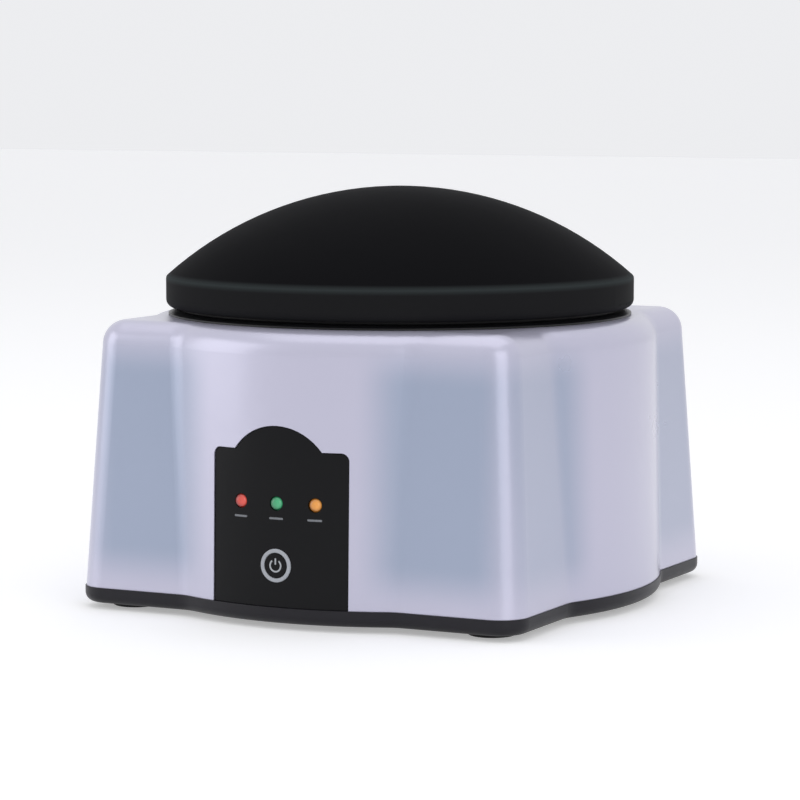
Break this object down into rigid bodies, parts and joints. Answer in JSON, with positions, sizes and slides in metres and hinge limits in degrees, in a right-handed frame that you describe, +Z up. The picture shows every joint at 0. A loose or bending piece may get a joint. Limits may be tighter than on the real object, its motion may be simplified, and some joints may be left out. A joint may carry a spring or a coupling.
{
  "type": "gel polish remover machine",
  "caption": "Low square table-top steamer with bulged sides, a black domed lift-off lid, a finger tray over a heated tank, and a front panel with lamps and a power button.",
  "frame": {"origin": "under the middle of the feet, on the surface that the machine stands on", "axes": "+Z up, the control panel faces -Y, +X to the right as seen from the front"},
  "size_m": [0.1998, 0.1998, 0.1553],
  "materials": {
    "pearl_white": "pearl, satin gloss",
    "black_plastic": "fine moulded grain",
    "gloss_black": "gloss",
    "satin_black": "satin gloss",
    "black_rubber": "matt",
    "screw_steel": "zinc plated",
    "red_lens": "clear tinted",
    "green_lens": "clear tinted",
    "amber_lens": "clear tinted",
    "light_grey_ring": "satin",
    "tinned_wire": "tinned",
    "green_board": "solder mask",
    "stainless_steel": "drawn and brushed",
    "grey_silicone": "matt",
    "cast_aluminium": "as cast",
    "zinc_sheet": "zinc plated",
    "brown_phenolic": "matt",
    "copper_winding": "enamelled",
    "core_steel": "laminated",
    "blue_plastic": "gloss",
    "capacitor_sleeve": "shrink sleeve",
    "fuse_glass": "clear",
    "green_terminal": "moulded",
    "white_nylon": "moulded",
    "grey_lead": "sleeved",
    "white_lead": "silicone sleeved",
    "brown_lead": "PVC",
    "green_lead": "PVC",
    "tray_white": "fine moulded grain"
  },
  "bodies": {
    "casing": {"housing_shell": "pearl_white", "base_tray": "black_plastic", "rubber_feet": "black_rubber", "base_screws": "screw_steel", "control_panel": "gloss_black", "red_lamp": "red_lens", "green_lamp": "green_lens", "amber_lamp": "amber_lens", "lamp_leads": "tinned_wire", "trim_ring": "light_grey_ring", "tact_switch": "black_plastic", "control_board": "green_board", "control_board_screws": "screw_steel", "seat_collar": "black_plastic", "steam_tank": "stainless_steel", "tank_gasket": "grey_silicone", "tank_screws": "screw_steel", "tank_studs": "screw_steel", "clamp_nuts": "screw_steel", "heater": "cast_aluminium", "heater_clamp": "zinc_sheet", "thermostat": "brown_phenolic", "thermal_cutout": "tinned_wire", "power_board": "green_board", "power_board_screws": "screw_steel", "transformer_winding": "copper_winding", "transformer_core": "core_steel", "relay": "blue_plastic", "capacitor": "capacitor_sleeve", "fuse": "fuse_glass", "fuse_clips": "tinned_wire", "terminal_block": "green_terminal", "mains_inlet": "black_plastic", "inlet_pins": "tinned_wire", "board_plugs": "white_nylon", "control_lead": "grey_lead", "heater_leads": "white_lead", "inlet_leads": "brown_lead", "earth_tag": "tinned_wire", "earth_lead": "green_lead", "thermostat_leads": "white_lead", "cutout_leads": "white_lead"},
    "lid": {"lid_dome": "satin_black", "lid_ring": "black_plastic", "lid_gasket": "black_rubber"},
    "tray": {"finger_tray": "tray_white", "finger_seals": "grey_silicone"},
    "button": {"power_button": "gloss_black", "switch_plunger": "black_plastic"}
  },
  "joints": [
    {"name": "lid_lift", "type": "slide", "parent": "casing", "child": "lid", "axis": [0, 0, 1], "range_m": [0, 0.06]},
    {"name": "tray_lift", "type": "slide", "parent": "casing", "child": "tray", "axis": [0, 0, 1], "range_m": [0, 0.008]},
    {"name": "button_press", "type": "slide", "parent": "casing", "child": "button", "axis": [0, 1, 0], "range_m": [0, 0.0005], "stiffness_N_per_m": 2000}
  ]
}
